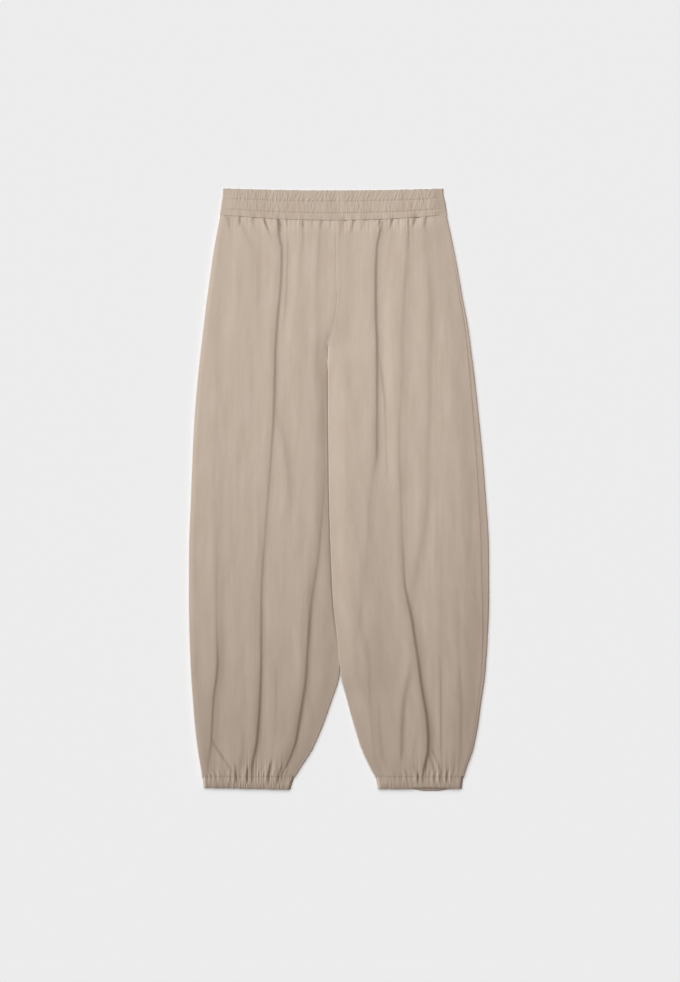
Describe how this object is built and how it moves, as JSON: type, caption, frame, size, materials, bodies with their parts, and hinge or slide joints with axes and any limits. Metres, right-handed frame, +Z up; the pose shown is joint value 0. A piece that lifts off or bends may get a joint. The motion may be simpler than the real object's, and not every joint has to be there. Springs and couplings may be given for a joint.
{
  "type": "parachute pants",
  "caption": "Wide-leg woven trousers laid flat, gathered into an elasticated waistband with a ruffled header and into elasticated cuffs",
  "frame": {"origin": "middle of the laid garment's outline, on the surface that it lies on", "axes": "+X to the right across the legs, +Y from the cuffs towards the waist, +Z up from the surface through the front of the garment"},
  "size_m": [0.498, 0.9998, 0.0113],
  "materials": {
    "poplin": "light taupe plain-woven cloth, matt with a faint sheen, softly creased",
    "gathered_band": "the same cloth gathered over elastic in narrow uneven ribs"
  },
  "bodies": {
    "root": {"front_leg_left": "poplin", "back_leg_left": "poplin", "front_leg_right": "poplin", "back_leg_right": "poplin", "waistband_front": "gathered_band", "waistband_back": "gathered_band", "cuff_front_left": "gathered_band", "cuff_back_left": "gathered_band", "cuff_front_right": "gathered_band", "cuff_back_right": "gathered_band"}
  },
  "joints": []
}
